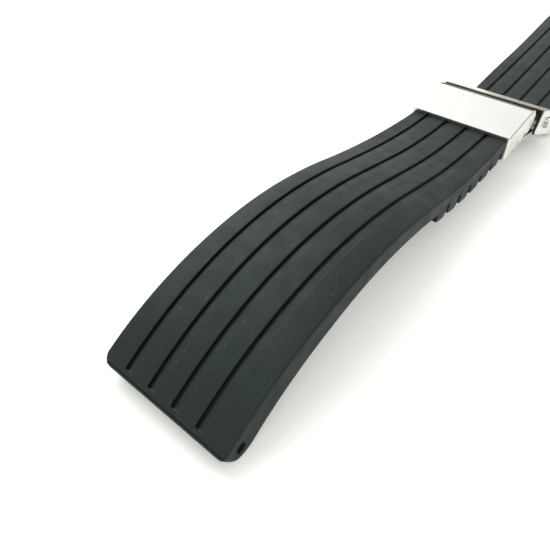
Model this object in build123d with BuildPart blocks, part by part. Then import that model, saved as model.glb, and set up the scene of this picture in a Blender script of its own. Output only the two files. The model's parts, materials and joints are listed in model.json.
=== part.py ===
from build123d import *
from math import asin, atan2, cos, degrees, hypot, radians, sin, sqrt
import os

os.makedirs("parts", exist_ok=True)

# Strap sizes, in millimetres and degrees
LUG_WIDTH = 22.0
BODY_THICK = 3.3
LUG_THICK = 4.6
TOP_OVER_BAR = 2.8
STUB_LENGTH = 1.8
NOSE_RADIUS = 0.5
FOOT_RADIUS = 0.9
LUG_CORNER_RADIUS = 1.8
STRAP_EDGE_RADIUS = 0.6
LUG_BORE_DIAMETER = 1.6
LUG_BORE_FROM_END = 1.5
LUG_BORE_BELOW_TOP = 2.4
RIDGE_PITCH = 4.75
RIDGE_COUNT = 8
RIDGE_WIDTH = 3.5
RIDGE_DROP_CUT_END = 1.0
RIDGE_DROP_OUTER = 1.7
RIDGE_CORNER_RADIUS = 0.8
RIDGE_SIDE_SETBACK = 0.1
VALLEY_RADIUS = 0.7
GROOVE_PITCH = 4.28
GROOVE_COUNT = 4
GROOVE_DEPTH = 0.55
GROOVE_HALF_SLIT = 0.22
GROOVE_BANK = 1.3
GROOVE_BANK_DEPTH = 0.14
GROOVE_FROM_LUG_END = 0.85
LOWER_POINT_COUNT = 14
TOOL_OVERRUN = 0.5

# Strap curves from the bar to the lug end: length and turn of each piece
NEAR_CURVE = [
    (9.0, 0),
    (20.0, 9.8),
    (11.0, 0.4),
    (10.0, -6.2),
    (10.0, -8.4),
    (20.0, -20.9),
    (7.5, -8.4),
    (2.45, 0),
]
FAR_CURVE = [(26.0, 2.0), (24.0, 0), (20.0, -20.0), (16.0, -16.0), (4.0, 0)]

# Spring bar sizes
BAR_DIAMETER = 1.5
BAR_INSIDE = 1.1
BAR_CLEARANCE = 0.05
NEAR_BAR_SETBACK = 0.3
FAR_BAR_SETBACK = 0.5
TIP_DIAMETER = 0.8
TIP_REACH = 1.1
PISTON_LENGTH = 1.0
CRIMP_LENGTH = 0.3
PISTON_CLEARANCE = 0.03
TIP_CLEARANCE = 0.05
TIP_TRAVEL = 0.8
BAR_SPRING_DIAMETER = 0.9
BAR_SPRING_INSIDE = 0.6

# Gaps between pieces
SMALL_GAP = 0.15
RUNNING_GAP = 0.3
PIN_CLEARANCE = 0.05
STRAP_SIDE_GAP = 1.0
SLEEVE_SIDE_GAP = 0.25
POST_SIDE_GAP = 0.4

# Clasp cover sizes, along and under its near top rim
COVER_TILT = -20.0
COVER_LENGTH = 14.2
COVER_SHEET = 0.9
COVER_BULGE = 0.35
COVER_HALF_WIDTH = 11.5
SKIRT_THICK = 0.8
COVER_CORNER_RADIUS = 1.4
COVER_EDGE_RADIUS = 0.4
FAR_BAR_ALONG = 18.3
FAR_BAR_UNDER = 3.3
FAR_LUG_RADIUS = 1.9
COVER_HINGE_ALONG = 2.6
COVER_HINGE_UNDER = 3.1
BLADE_HINGE_ALONG = 12.4
BLADE_HINGE_UNDER = 3.9

# Blade sizes
KNUCKLE_RADIUS = 1.2
HINGE_PIN_DIAMETER = 1.2
BLADE_SHEET = 0.8
MIDDLE_SHEET_TOP = 2.7
FINGER_HALF_WIDTH = 3.3
LOWER_CURVE_RADIUS = 45.0
LOWER_CENTRE_ALONG = -5.3
LOWER_CROWN_DROP = 5.86
LOWER_NEAR_END = -8.9
EAR_THICK = 0.8
EAR_HEAD_RADIUS = 1.6
EAR_NECK_HALF = 1.0
POST_HALF_LENGTH = 1.9
POST_SLOT_HALF = 0.9
POST_SLOT_UNDER = 2.75
POST_SETBACK = 2.0
POST_THICK = 0.8
POST_TOP_UNDER = 1.25

# Sleeve sizes, along and under its near top edge
SLEEVE_TILT = 8.0
SLEEVE_LENGTH = 11.6
SLEEVE_HEIGHT = 5.1
SLEEVE_SHEET = 0.6
SLEEVE_EDGE_RADIUS = 0.35
SLEEVE_BAR_ALONG = 6.0
SLEEVE_BAR_UNDER = 4.2
SPARE_HOLE_ALONG = 9.6
NOSE_BEFORE_COVER = 5.26
NOSE_BELOW_COVER = 0.97
LIP_DROP = 1.2

# Push button sizes
BUTTON_ALONG = 7.5
BUTTON_UNDER = 2.3
BUTTON_LENGTH = 5.0
BUTTON_HEIGHT = 2.2
BUTTON_STAND_OUT = 0.7
BUTTON_CORNER_RADIUS = 0.9
FLANGE_LENGTH = 6.0
FLANGE_TOP_UNDER = 1.1
FLANGE_FOOT_UNDER = 3.9
FLANGE_THICK = 0.55
STEM_UNDER = 1.85
STEM_DIAMETER = 1.1
STEM_SETBACK = 1.3
CARRIER_HALF_WIDTH = 3.0
CARRIER_LENGTH = 2.4
CARRIER_HEIGHT = 1.5
COIL_RADIUS = 0.42
COIL_WIRE_RADIUS = 0.1
COIL_WIRE_SIDES = 8
COIL_PITCH = 0.5


def _share(value):
    return value


HALF = _share(1 / 2)
QUARTER_TURN = _share(90)
TAPER_START = _share(0.38)
TAPER_END = _share(0.75)

# Lateral places, from the inside of the cover's skirts towards the middle
skirt_inside = COVER_HALF_WIDTH - SKIRT_THICK
knuckle_half_width = skirt_inside - RUNNING_GAP
far_bar_half = skirt_inside - FAR_BAR_SETBACK
cut_end_half = skirt_inside - STRAP_SIDE_GAP
near_bar_half = cut_end_half - NEAR_BAR_SETBACK
sleeve_inside = cut_end_half + SLEEVE_SIDE_GAP
sleeve_half_width = sleeve_inside + SLEEVE_SHEET
lower_half_width = sleeve_inside - SMALL_GAP
post_inner = lower_half_width - POST_SETBACK
middle_half_width = post_inner - POST_SIDE_GAP
stem_inner_end = post_inner - STEM_SETBACK

# Side shift that centres each slit and its bank together
groove_shift = (GROOVE_BANK - GROOVE_HALF_SLIT) * HALF


def direction(angle):
    """Unit vector along an angle in degrees, in a side view."""
    return cos(radians(angle)), sin(radians(angle))


def walk(curve, distance):
    """Point and heading on a strap's top line, at a distance outward from the bar."""
    x, z, heading = 0, TOP_OVER_BAR, 0
    if distance < 0:
        return distance, z, heading
    left = distance
    for length, turn in curve:
        step = min(left, length)
        part_turn = turn * step / length
        mean = direction(heading + part_turn * HALF)
        bend = radians(part_turn) * HALF
        chord = step * sin(bend) / bend if bend else step
        x, z, heading = x + chord * mean[0], z + chord * mean[1], heading + part_turn
        left -= step
        if left <= 0:
            break
    return x, z, heading


def below(station, depth):
    """Point at a depth under a station of the top line."""
    x, z, heading = station
    along = direction(heading)
    return x + depth * along[1], z - depth * along[0]


def from_centre(centre, radius, angle):
    """Point on a circle around a centre, at an angle in degrees."""
    way = direction(angle)
    return centre[0] + radius * way[0], centre[1] + radius * way[1]


def curve_length(curve):
    """Length of a strap's top line outward of the bar."""
    return sum(length for length, turn in curve)


def thickness(curve, distance):
    """Thickness of the strap's body without the ridges, at a distance from the bar."""
    share = distance / curve_length(curve)
    share = min(max((share - TAPER_START) / (TAPER_END - TAPER_START), 0), 1)
    return BODY_THICK + (LUG_THICK - BODY_THICK) * share


def half_width(curve, distance):
    """Half the strap's width at a distance from the bar."""
    share = distance / curve_length(curve)
    return cut_end_half + (LUG_WIDTH * HALF - cut_end_half) * share


def foot_centre(curve):
    """Centre of the rounded lower corner of the lug end."""
    return below(walk(curve, curve_length(curve) - FOOT_RADIUS), LUG_THICK - FOOT_RADIUS)


def nose_centre(curve):
    """Centre of the rounded upper corner of the lug end."""
    return below(walk(curve, curve_length(curve) - NOSE_RADIUS), NOSE_RADIUS)


def resting_angle(curve, bar_height):
    """Turn about the bar that sets the rounded lower corner of the lug end on the table."""
    x, z = foot_centre(curve)
    return degrees(asin((FOOT_RADIUS - bar_height) / hypot(x, z)) - atan2(z, x))


def reach(curve, bar_height):
    """Level distance from the bar to the outermost point of the lug end."""
    turn = direction(resting_angle(curve, bar_height))
    ends = []
    for centre, radius in ((foot_centre(curve), FOOT_RADIUS), (nose_centre(curve), NOSE_RADIUS)):
        ends.append(centre[0] * turn[0] - centre[1] * turn[1] + radius)
    return max(ends)


# Where the clasp stands: far lug on the table, whole strap centred on the row frame
cover_way = direction(COVER_TILT)
sleeve_way = direction(SLEEVE_TILT)
cover_z = FAR_LUG_RADIUS - FAR_BAR_ALONG * cover_way[1] + FAR_BAR_UNDER * cover_way[0]
nose_z = cover_z - NOSE_BELOW_COVER
near_bar_back = (SLEEVE_BAR_ALONG - SLEEVE_LENGTH, SLEEVE_BAR_UNDER - SLEEVE_HEIGHT * HALF)
near_bar_x = near_bar_back[0] * sleeve_way[0] + near_bar_back[1] * sleeve_way[1] - NOSE_BEFORE_COVER
near_bar_z = near_bar_back[0] * sleeve_way[1] - near_bar_back[1] * sleeve_way[0] + nose_z
far_bar_x = FAR_BAR_ALONG * cover_way[0] + FAR_BAR_UNDER * cover_way[1]
near_end = near_bar_x - reach(NEAR_CURVE, near_bar_z)
far_end = far_bar_x + reach(FAR_CURVE, FAR_LUG_RADIUS)
cover_x = -(near_end + far_end) * HALF
nose_x = cover_x - NOSE_BEFORE_COVER
near_bar = (cover_x + near_bar_x, near_bar_z)
far_bar = (cover_x + far_bar_x, FAR_LUG_RADIUS)


def clasp_point(along, under):
    """Row-frame x and z of a point along and under the cover's near top rim."""
    x = cover_x + along * cover_way[0] + under * cover_way[1]
    return x, cover_z + along * cover_way[1] - under * cover_way[0]


def side_plane(x, z, way, outward=1):
    """Side-view frame at a point: first axis along a direction, second axis up."""
    return Plane(origin=(x, 0, z), x_dir=(outward * way[0], 0, way[1]), z_dir=(0, -outward, 0))


side = side_plane(0, 0, direction(0))
clasp = side_plane(cover_x, cover_z, cover_way)
sleeve_x = nose_x - SLEEVE_LENGTH * sleeve_way[0] - SLEEVE_HEIGHT * HALF * sleeve_way[1]
sleeve_z = nose_z - SLEEVE_LENGTH * sleeve_way[1] + SLEEVE_HEIGHT * HALF * sleeve_way[0]
hood = side_plane(sleeve_x, sleeve_z, sleeve_way)
near_side = side_plane(near_bar[0], near_bar[1], direction(resting_angle(NEAR_CURVE, near_bar[1])), -1)
far_side = side_plane(far_bar[0], far_bar[1], direction(resting_angle(FAR_CURVE, far_bar[1])))
cover_hinge = clasp_point(COVER_HINGE_ALONG, COVER_HINGE_UNDER)
blade_hinge = clasp_point(BLADE_HINGE_ALONG, BLADE_HINGE_UNDER)
stem_axis = clasp_point(BUTTON_ALONG, STEM_UNDER)


def rod(point, radius, start, end, mode=Mode.ADD):
    """Round rod across the strap at a side-view point, from one lateral place to another."""
    low, high = min(start, end), max(start, end)
    foot = Plane(origin=(point[0], low, point[1]), z_dir=(0, 1, 0))
    with BuildSketch(foot) as section:
        Circle(radius)
    extrude(to_extrude=section.sketch, amount=high - low, mode=mode)


def slab(frame, outline, start, end, mode=Mode.ADD):
    """Solid from a closed side-view outline, from one lateral place to another."""
    low, high = min(start, end), max(start, end)
    with BuildSketch(frame) as section:
        with BuildLine():
            Polyline(*outline, close=True)
        make_face()
    face = section.sketch.moved(Location((0, high, 0)))
    extrude(to_extrude=face, amount=high - low, dir=(0, -1, 0), mode=mode)


def box_outline(left, right, lower, upper):
    """Corners of an upright rectangle in a side view."""
    return [(left, lower), (right, lower), (right, upper), (left, upper)]


def top_line(curve, start, stop):
    """Top line from inward of the bar to a place in the last piece, drawn in the open line builder."""
    Line(walk(curve, start)[:-1], walk(curve, 0)[:-1])
    place = 0
    for piece, turn in curve:
        after = min(place + piece, stop)
        first, middle, last = [walk(curve, spot)[:-1] for spot in (place, (place + after) * HALF, after)]
        if turn:
            ThreePointArc(first, middle, last)
        else:
            Line(first, last)
        place = after


def strap_outline(curve):
    """Side view of a strap half's body, drawn in the open line builder."""
    length = curve_length(curve)
    top_line(curve, -STUB_LENGTH, length - NOSE_RADIUS)
    end = walk(curve, length)
    corners = ((nose_centre(curve), NOSE_RADIUS, 1), (foot_centre(curve), FOOT_RADIUS, -1))
    foot_side = []
    for centre, radius, hand in corners:
        arc = [from_centre(centre, radius, end[-1] + hand * QUARTER_TURN * share) for share in (1, HALF, 0)]
        foot_side.append(arc)
    nose_arc, foot_arc = foot_side
    ThreePointArc(*nose_arc)
    Line(nose_arc[-1], foot_arc[-1])
    ThreePointArc(*reversed(foot_arc))
    lower = []
    span = length - FOOT_RADIUS + STUB_LENGTH
    for index in range(LOWER_POINT_COUNT + 1):
        distance = length - FOOT_RADIUS - span * index / LOWER_POINT_COUNT
        lower.append(below(walk(curve, distance), thickness(curve, distance)))
    lower[0] = foot_arc[0]
    Spline(*lower)
    Line(lower[-1], walk(curve, -STUB_LENGTH)[:-1])


def strap_body(frame, curve):
    """Strap body with tapered sides, rounded edges and rounded lug corners."""
    with BuildSketch(frame) as outline:
        with BuildLine():
            strap_outline(curve)
        make_face()
    body = extrude(to_extrude=outline.sketch, amount=LUG_WIDTH * HALF, both=True)
    end = walk(curve, curve_length(curve))
    lean = (LUG_WIDTH * HALF - cut_end_half) / end[0]
    for hand in (-1, 1):
        corner = frame.from_local_coords(Vector(end[0], 0, hand * LUG_WIDTH * HALF))
        outward = frame.from_local_coords(Vector(-lean, 0, hand)) - frame.origin
        body = split(bisect_by=Plane(origin=corner, z_dir=outward), keep=Keep.BOTTOM)
    flanks = [face for face in body.faces() if abs(face.normal_at().Y) > HALF]
    rims = [edge for face in flanks for edge in face.edges()]
    fillet(rims, radius=STRAP_EDGE_RADIUS)


def lug_corners(frame, curve):
    """Round the two lug corners as seen from above."""
    end = walk(curve, curve_length(curve))
    way = direction(end[-1])
    centre = below(end, LUG_THICK * HALF)
    origin = frame.from_local_coords(Vector(centre[0], centre[1], 0))
    outward = frame.from_local_coords(Vector(way[0], way[1], 0)) - frame.origin
    with BuildSketch(Plane(origin=origin, x_dir=outward, z_dir=outward.cross(Vector(0, 1, 0)))) as corners:
        for hand in (-1, 1):
            with BuildLine():
                outer = hand * (LUG_WIDTH * HALF + TOOL_OVERRUN)
                inner = hand * (LUG_WIDTH * HALF - LUG_CORNER_RADIUS)
                edge = hand * LUG_WIDTH * HALF
                back = -LUG_CORNER_RADIUS
                knee = from_centre((back, inner), LUG_CORNER_RADIUS, hand * QUARTER_TURN * HALF)
                ThreePointArc((0, inner), knee, (back, edge))
                Polyline((back, edge), (back, outer), (TOOL_OVERRUN, outer), (TOOL_OVERRUN, inner), (0, inner))
            make_face()
    extrude(to_extrude=corners.sketch, amount=LUG_THICK, both=True, mode=Mode.SUBTRACT)


def strap_ridges(frame, curve):
    """Cross ridges of the underside, lower towards the cut end."""
    for index in range(RIDGE_COUNT):
        distance = index * RIDGE_PITCH
        drop = RIDGE_DROP_CUT_END + (RIDGE_DROP_OUTER - RIDGE_DROP_CUT_END) * index / (RIDGE_COUNT - 1)
        height = drop + RIDGE_CORNER_RADIUS + RIDGE_CORNER_RADIUS
        station = walk(curve, distance)
        x, z = below(station, BODY_THICK + drop - height * HALF)
        with BuildSketch(frame) as section:
            with Locations((x, z)):
                RectangleRounded(RIDGE_WIDTH, height, RIDGE_CORNER_RADIUS - SMALL_GAP, rotation=station[-1])
        extrude(to_extrude=section.sketch, amount=half_width(curve, distance) - RIDGE_SIDE_SETBACK, both=True)


def strap_cuts(frame, curve, bore_radius):
    """Spring bar bores, rounded valleys between the ridges and the four grooves."""
    length = curve_length(curve)
    lug_bore = below(walk(curve, length - LUG_BORE_FROM_END), LUG_BORE_BELOW_TOP)
    with BuildSketch(frame) as holes:
        Circle(bore_radius)
        with Locations(lug_bore):
            Circle(LUG_BORE_DIAMETER * HALF)
        for index in range(RIDGE_COUNT - 1):
            valley = walk(curve, (index + HALF) * RIDGE_PITCH)
            with Locations(below(valley, BODY_THICK)):
                Circle(VALLEY_RADIUS)
    extrude(to_extrude=holes.sketch, amount=LUG_WIDTH, both=True, mode=Mode.SUBTRACT)
    with BuildLine(frame) as path:
        top_line(curve, -STUB_LENGTH - TOOL_OVERRUN, length - GROOVE_FROM_LUG_END)
    route = path.line
    entry = route @ 0
    for index in range(GROOVE_COUNT):
        place = (index - (GROOVE_COUNT - 1) * HALF) * GROOVE_PITCH + groove_shift
        start = Plane(origin=(entry.X, place, entry.Z), x_dir=(0, -1, 0), z_dir=route % 0)
        up = 1 if start.y_dir.Z > 0 else -1
        with BuildSketch(start) as section:
            with BuildLine():
                Polyline(
                    (-GROOVE_HALF_SLIT, up * TOOL_OVERRUN),
                    (-GROOVE_HALF_SLIT, -up * GROOVE_DEPTH),
                    (GROOVE_HALF_SLIT, -up * GROOVE_DEPTH),
                    (GROOVE_HALF_SLIT, -up * GROOVE_BANK_DEPTH),
                    (GROOVE_BANK, 0),
                    (GROOVE_BANK, up * TOOL_OVERRUN),
                    close=True,
                )
            make_face()
        shifted = route.moved(Location((0, place, 0)))
        sweep(sections=section.sketch, path=shifted, mode=Mode.SUBTRACT)


bar_bore_radius = BAR_DIAMETER * HALF + BAR_CLEARANCE

with BuildPart() as near_strap:
    strap_body(near_side, NEAR_CURVE)
    lug_corners(near_side, NEAR_CURVE)
    strap_ridges(near_side, NEAR_CURVE)
    strap_cuts(near_side, NEAR_CURVE, bar_bore_radius)
near_strap.part.label = "near_strap"
export_step(near_strap.part, "parts/near_strap.step")

with BuildPart() as far_strap:
    strap_body(far_side, FAR_CURVE)
    lug_corners(far_side, FAR_CURVE)
    strap_ridges(far_side, FAR_CURVE)
    strap_cuts(far_side, FAR_CURVE, bar_bore_radius)
far_strap.part.label = "far_strap"
export_step(far_strap.part, "parts/far_strap.step")

with BuildPart() as end_sleeve:
    with BuildSketch(hood) as shell:
        with Locations((SLEEVE_LENGTH * HALF, -SLEEVE_HEIGHT * HALF)):
            Rectangle(SLEEVE_LENGTH, SLEEVE_HEIGHT)
        with Locations((SLEEVE_LENGTH, -SLEEVE_HEIGHT * HALF)):
            Circle(SLEEVE_HEIGHT * HALF)
    extrude(amount=sleeve_half_width, both=True)
    flanks = faces().filter_by(Axis.Y)
    fillet([edge for face in flanks for edge in face.edges()], radius=SLEEVE_EDGE_RADIUS)
    with BuildSketch(hood) as inside:
        inner_foot = -SLEEVE_HEIGHT - TOOL_OVERRUN
        with BuildLine():
            roof = -SLEEVE_SHEET
            Polyline(*box_outline(-TOOL_OVERRUN, SLEEVE_LENGTH, inner_foot, roof), close=True)
        make_face()
        with Locations((SLEEVE_LENGTH, -SLEEVE_HEIGHT * HALF)):
            Circle(SLEEVE_HEIGHT * HALF - SLEEVE_SHEET)
        with BuildLine():
            lip_top = -SLEEVE_HEIGHT * HALF - LIP_DROP
            Polyline(*box_outline(0, SLEEVE_LENGTH + SLEEVE_HEIGHT, inner_foot, lip_top), close=True)
        make_face()
    extrude(amount=sleeve_inside, both=True, mode=Mode.SUBTRACT)
    with BuildSketch(hood) as holes:
        with Locations((SLEEVE_BAR_ALONG, -SLEEVE_BAR_UNDER), (SPARE_HOLE_ALONG, -SLEEVE_BAR_UNDER)):
            Circle(TIP_DIAMETER * HALF + TIP_CLEARANCE)
        with Locations((SLEEVE_LENGTH, -SLEEVE_HEIGHT * HALF)):
            Circle(HINGE_PIN_DIAMETER * HALF)
    extrude(amount=sleeve_half_width, both=True, mode=Mode.SUBTRACT)
end_sleeve.part.label = "end_sleeve"
export_step(end_sleeve.part, "parts/end_sleeve.step")

with BuildPart() as sleeve_pin:
    rod((nose_x, nose_z), HINGE_PIN_DIAMETER * HALF, -sleeve_half_width, sleeve_half_width)
sleeve_pin.part.label = "sleeve_pin"
export_step(sleeve_pin.part, "parts/sleeve_pin.step")


def arch_point(x, radius):
    """Point of the lower blade's curve at a level distance from the cover's near top rim."""
    rise = sqrt(radius * radius - (x - LOWER_CENTRE_ALONG) * (x - LOWER_CENTRE_ALONG))
    return cover_x + x, cover_z - LOWER_CROWN_DROP - LOWER_CURVE_RADIUS + rise


def blade_depth(along):
    """Depth of the lower blade's middle line under the cover's rim, at a distance along the rim."""
    centre_drop = LOWER_CROWN_DROP + LOWER_CURVE_RADIUS
    centre_along = LOWER_CENTRE_ALONG * cover_way[0] - centre_drop * cover_way[1]
    centre_under = LOWER_CENTRE_ALONG * cover_way[1] + centre_drop * cover_way[0]
    offset = along - centre_along
    return centre_under - sqrt(LOWER_CURVE_RADIUS * LOWER_CURVE_RADIUS - offset * offset)


with BuildPart() as lower_blade:
    outer = LOWER_CURVE_RADIUS + BLADE_SHEET * HALF
    inner = LOWER_CURVE_RADIUS - BLADE_SHEET * HALF
    hinge_at = blade_hinge[0] - cover_x
    middle_at = (LOWER_NEAR_END + hinge_at) * HALF
    with BuildSketch(side) as sheet:
        with BuildLine():
            ThreePointArc(*[arch_point(x, outer) for x in (LOWER_NEAR_END, middle_at, hinge_at)])
            Line(arch_point(hinge_at, outer), arch_point(hinge_at, inner))
            ThreePointArc(*[arch_point(x, inner) for x in (hinge_at, middle_at, LOWER_NEAR_END)])
            Line(arch_point(LOWER_NEAR_END, inner), arch_point(LOWER_NEAR_END, outer))
        make_face()
        with Locations(blade_hinge):
            Circle(KNUCKLE_RADIUS)
    extrude(amount=lower_half_width, both=True)
    knuckle_gap = FINGER_HALF_WIDTH + RUNNING_GAP
    rod(blade_hinge, KNUCKLE_RADIUS + RUNNING_GAP, -knuckle_gap, knuckle_gap, Mode.SUBTRACT)
    for hand in (-1, 1):
        face_in, face_out = hand * (lower_half_width - EAR_THICK), hand * lower_half_width
        rod((nose_x, nose_z), EAR_HEAD_RADIUS, face_in, face_out)
        neck_foot = arch_point(nose_x - cover_x, LOWER_CURVE_RADIUS)[1]
        neck = box_outline(nose_x - EAR_NECK_HALF, nose_x + EAR_NECK_HALF, neck_foot, nose_z)
        slab(side, neck, face_in, face_out)
        post_in, post_out = hand * post_inner, hand * (post_inner + POST_THICK)
        post_left, post_right = BUTTON_ALONG - POST_HALF_LENGTH, BUTTON_ALONG + POST_HALF_LENGTH
        post = box_outline(post_left, post_right, -blade_depth(BUTTON_ALONG), -POST_TOP_UNDER)
        slab(clasp, post, post_in, post_out)
        slot_left, slot_right = BUTTON_ALONG - POST_SLOT_HALF, BUTTON_ALONG + POST_SLOT_HALF
        slot = box_outline(slot_left, slot_right, -POST_SLOT_UNDER, 0)
        slab(clasp, slot, post_in, post_out, Mode.SUBTRACT)
    pin_hole = HINGE_PIN_DIAMETER * HALF
    rod(blade_hinge, pin_hole, -lower_half_width, lower_half_width, Mode.SUBTRACT)
    rod((nose_x, nose_z), pin_hole, -lower_half_width, lower_half_width, Mode.SUBTRACT)
lower_blade.part.label = "lower_blade"
export_step(lower_blade.part, "parts/lower_blade.step")

with BuildPart() as blade_hinge_pin:
    rod(blade_hinge, HINGE_PIN_DIAMETER * HALF, -lower_half_width, lower_half_width)
blade_hinge_pin.part.label = "blade_hinge_pin"
export_step(blade_hinge_pin.part, "parts/blade_hinge_pin.step")

with BuildPart() as middle_blade:
    sheet_foot = -MIDDLE_SHEET_TOP - BLADE_SHEET
    shoulder = BLADE_HINGE_ALONG - KNUCKLE_RADIUS - RUNNING_GAP
    wide = box_outline(COVER_HINGE_ALONG, shoulder, sheet_foot, -MIDDLE_SHEET_TOP)
    slab(clasp, wide, -middle_half_width, middle_half_width)
    finger = box_outline(COVER_HINGE_ALONG, BLADE_HINGE_ALONG, sheet_foot, -MIDDLE_SHEET_TOP)
    slab(clasp, finger, -FINGER_HALF_WIDTH, FINGER_HALF_WIDTH)
    rod(cover_hinge, KNUCKLE_RADIUS, -knuckle_half_width, knuckle_half_width)
    rod(blade_hinge, KNUCKLE_RADIUS, -FINGER_HALF_WIDTH, FINGER_HALF_WIDTH)
    running_hole = HINGE_PIN_DIAMETER * HALF + PIN_CLEARANCE
    rod(cover_hinge, running_hole, -COVER_HALF_WIDTH, COVER_HALF_WIDTH, Mode.SUBTRACT)
    rod(blade_hinge, running_hole, -COVER_HALF_WIDTH, COVER_HALF_WIDTH, Mode.SUBTRACT)
middle_blade.part.label = "middle_blade"
export_step(middle_blade.part, "parts/middle_blade.step")

skirt_foot = -FAR_BAR_UNDER - FAR_LUG_RADIUS

with BuildPart() as clasp_cover:
    with BuildSketch(clasp) as profile:
        lug_run, lug_drop = FAR_BAR_ALONG - COVER_LENGTH, FAR_BAR_UNDER
        lug_distance = hypot(lug_run, lug_drop)
        lug_angle = degrees(asin(FAR_LUG_RADIUS / lug_distance) - atan2(lug_drop, lug_run))
        lug_reach = sqrt(lug_distance * lug_distance - FAR_LUG_RADIUS * FAR_LUG_RADIUS)
        lug_top = from_centre((COVER_LENGTH, 0), lug_reach, lug_angle)
        lug_middle = from_centre((FAR_BAR_ALONG, -FAR_BAR_UNDER), FAR_LUG_RADIUS, 0)
        lug_foot = (FAR_BAR_ALONG, skirt_foot)
        near_foot = (COVER_CORNER_RADIUS, skirt_foot + COVER_CORNER_RADIUS)
        knee = from_centre(near_foot, COVER_CORNER_RADIUS, -QUARTER_TURN - QUARTER_TURN * HALF)
        with BuildLine():
            ThreePointArc((0, 0), (COVER_LENGTH * HALF, COVER_BULGE), (COVER_LENGTH, 0))
            Line((COVER_LENGTH, 0), lug_top)
            ThreePointArc(lug_top, lug_middle, lug_foot)
            Line(lug_foot, (COVER_CORNER_RADIUS, skirt_foot))
            ThreePointArc((COVER_CORNER_RADIUS, skirt_foot), knee, (0, near_foot[-1]))
            Line((0, near_foot[-1]), (0, 0))
        make_face()
    extrude(amount=COVER_HALF_WIDTH, both=True)
    flanks = faces().filter_by(Axis.Y)
    fillet([edge for face in flanks for edge in face.edges()], radius=COVER_EDGE_RADIUS)
    under_foot = skirt_foot - TOOL_OVERRUN
    past_lug = FAR_BAR_ALONG + FAR_LUG_RADIUS + TOOL_OVERRUN
    under_sheet = box_outline(-TOOL_OVERRUN, past_lug, under_foot, -COVER_SHEET)
    slab(clasp, under_sheet, -skirt_inside, skirt_inside, Mode.SUBTRACT)
    past_sheet = box_outline(COVER_LENGTH, past_lug, under_foot, COVER_BULGE)
    slab(clasp, past_sheet, -skirt_inside, skirt_inside, Mode.SUBTRACT)
    with BuildSketch(clasp) as windows:
        with Locations((BUTTON_ALONG, -BUTTON_UNDER)):
            RectangleRounded(
                BUTTON_LENGTH + SMALL_GAP + SMALL_GAP,
                BUTTON_HEIGHT + SMALL_GAP + SMALL_GAP,
                BUTTON_CORNER_RADIUS + SMALL_GAP,
            )
        with Locations((COVER_HINGE_ALONG, -COVER_HINGE_UNDER)):
            Circle(HINGE_PIN_DIAMETER * HALF)
        with Locations((FAR_BAR_ALONG, -FAR_BAR_UNDER)):
            Circle(TIP_DIAMETER * HALF + TIP_CLEARANCE)
    extrude(amount=COVER_HALF_WIDTH, both=True, mode=Mode.SUBTRACT)
clasp_cover.part.label = "clasp_cover"
export_step(clasp_cover.part, "parts/clasp_cover.step")

with BuildPart() as cover_hinge_pin:
    rod(cover_hinge, HINGE_PIN_DIAMETER * HALF, -COVER_HALF_WIDTH, COVER_HALF_WIDTH)
cover_hinge_pin.part.label = "cover_hinge_pin"
export_step(cover_hinge_pin.part, "parts/cover_hinge_pin.step")

with BuildPart() as latch_carrier:
    carrier_left = BUTTON_ALONG - CARRIER_LENGTH * HALF
    carrier_foot = -COVER_SHEET - CARRIER_HEIGHT
    carrier = box_outline(carrier_left, carrier_left + CARRIER_LENGTH, carrier_foot, -COVER_SHEET)
    slab(clasp, carrier, -CARRIER_HALF_WIDTH, CARRIER_HALF_WIDTH)
latch_carrier.part.label = "latch_carrier"
export_step(latch_carrier.part, "parts/latch_carrier.step")

flange_outer = skirt_inside - SMALL_GAP
flange_inner = flange_outer - FLANGE_THICK
button_outer = COVER_HALF_WIDTH + BUTTON_STAND_OUT


def push_button(hand):
    """Push button with window head, inner flange and stem, to the left or right."""
    with BuildSketch(clasp) as head:
        with Locations((BUTTON_ALONG, -BUTTON_UNDER)):
            RectangleRounded(BUTTON_LENGTH, BUTTON_HEIGHT, BUTTON_CORNER_RADIUS)
    outer_face = head.sketch.moved(Location((0, max(hand * flange_outer, hand * button_outer), 0)))
    extrude(to_extrude=outer_face, amount=button_outer - flange_outer, dir=(0, -1, 0))
    flange_left = BUTTON_ALONG - FLANGE_LENGTH * HALF
    flange = box_outline(flange_left, flange_left + FLANGE_LENGTH, -FLANGE_FOOT_UNDER, -FLANGE_TOP_UNDER)
    slab(clasp, flange, hand * flange_inner, hand * flange_outer)
    rod(stem_axis, STEM_DIAMETER * HALF, hand * stem_inner_end, hand * flange_inner)


def coil(hand):
    """Coil spring between the latch carrier and a button stem, to the left or right."""
    inner = CARRIER_HALF_WIDTH + COIL_WIRE_RADIUS
    length = stem_inner_end - COIL_WIRE_RADIUS - inner
    foot = (stem_axis[0], hand * inner, stem_axis[1])
    with BuildLine() as route:
        Helix(pitch=COIL_PITCH, height=length, radius=COIL_RADIUS, center=foot, direction=(0, hand, 0))
    with BuildSketch(Plane(origin=route.line @ 0, z_dir=route.line % 0)) as wire:
        RegularPolygon(COIL_WIRE_RADIUS, COIL_WIRE_SIDES)
    sweep(sections=wire.sketch, path=route.line, is_frenet=True)


with BuildPart() as push_button_left:
    push_button(1)
push_button_left.part.label = "push_button_left"
export_step(push_button_left.part, "parts/push_button_left.step")

with BuildPart() as push_button_right:
    push_button(-1)
push_button_right.part.label = "push_button_right"
export_step(push_button_right.part, "parts/push_button_right.step")

with BuildPart() as button_spring_left:
    coil(1)
button_spring_left.part.label = "button_spring_left"
export_step(button_spring_left.part, "parts/button_spring_left.step")

with BuildPart() as button_spring_right:
    coil(-1)
button_spring_right.part.label = "button_spring_right"
export_step(button_spring_right.part, "parts/button_spring_right.step")


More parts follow.
